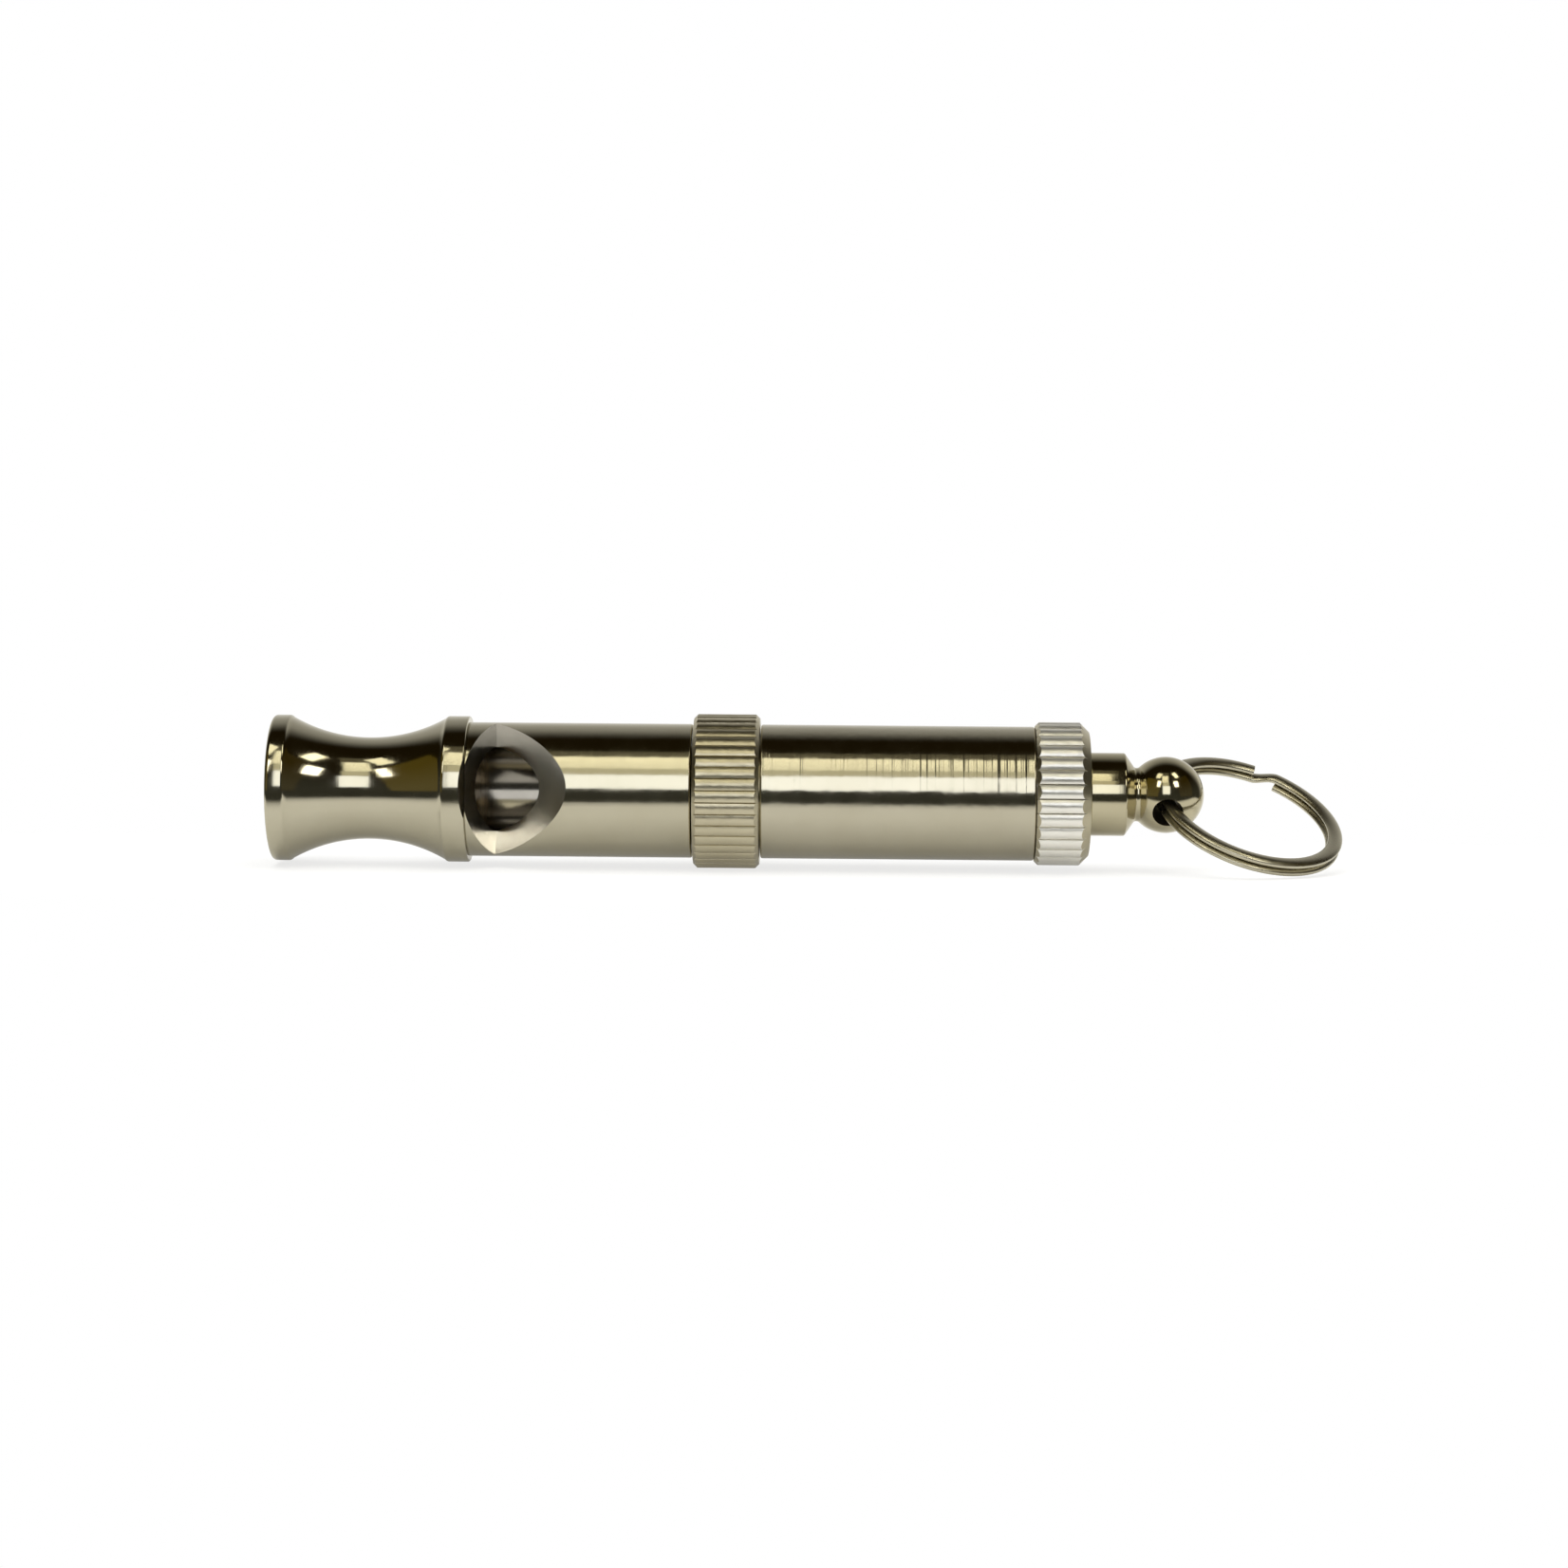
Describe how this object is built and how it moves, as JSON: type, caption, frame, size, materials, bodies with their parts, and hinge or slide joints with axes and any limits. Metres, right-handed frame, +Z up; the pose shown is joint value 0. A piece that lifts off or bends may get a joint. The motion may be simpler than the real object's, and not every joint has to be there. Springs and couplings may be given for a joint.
{
  "type": "dog whistle",
  "caption": "Slim metal tuning whistle for calling dogs: spool mouthpiece, notched sounding tube, knurled lock ring, turning barrel and a ball eye with a split ring.",
  "frame": {"origin": "on the table, under the middle of the whole whistle with its ring", "axes": "+X along the whistle from the mouth end to the ring end, +Z up, the sound window faces -Y"},
  "size_m": [0.08, 0.0136, 0.0115],
  "materials": {
    "mouthpiece": "polished nickel plate on turned brass",
    "windway_plug": "turned brass, unplated",
    "body_tube": "bright nickel plate on drawn brass tube",
    "tuning_screw": "cut thread, thin nickel plate on brass",
    "lock_ring": "straight knurl, nickel plate on brass",
    "rear_sleeve": "nickel plate over fine turning lines",
    "end_cap": "coarse straight knurl, pale nickel plate on brass",
    "ball_stud": "polished nickel plate on turned brass",
    "split_ring": "nickel-plated spring steel wire"
  },
  "bodies": {
    "whistle_body": {"mouthpiece": "mouthpiece", "windway_plug": "windway_plug", "body_tube": "body_tube"},
    "screw": {"tuning_screw": "tuning_screw"},
    "tuning_barrel": {"rear_sleeve": "rear_sleeve", "end_cap": "end_cap", "ball_stud": "ball_stud"},
    "lock_nut": {"lock_ring": "lock_ring"},
    "key_ring": {"split_ring": "split_ring"}
  },
  "joints": [
    {"name": "tuning_travel", "type": "slide", "parent": "whistle_body", "child": "screw", "axis": [1, 0, 0], "range_m": [0, 0.005]},
    {"name": "tuning_turn", "type": "hinge", "parent": "screw", "child": "tuning_barrel", "pos_m": [0, -0.00077, 0.00574], "axis": [1, 0, 0], "range_deg": [0, 1800]},
    {"name": "lock_turn", "type": "hinge", "parent": "whistle_body", "child": "lock_nut", "pos_m": [-0.00613, -0.00077, 0.00574], "axis": [1, 0, 0], "range_deg": [0, 90]},
    {"name": "ring_swing", "type": "hinge", "parent": "tuning_barrel", "child": "key_ring", "pos_m": [0.0266, -0.00077, 0.00574], "axis": [0, -0.8988, -0.4384], "range_deg": [-135, 165]}
  ],
  "couplings": [
    {"joint": "tuning_travel", "follows": "tuning_turn", "m_per_rad": 0.00015915}
  ]
}
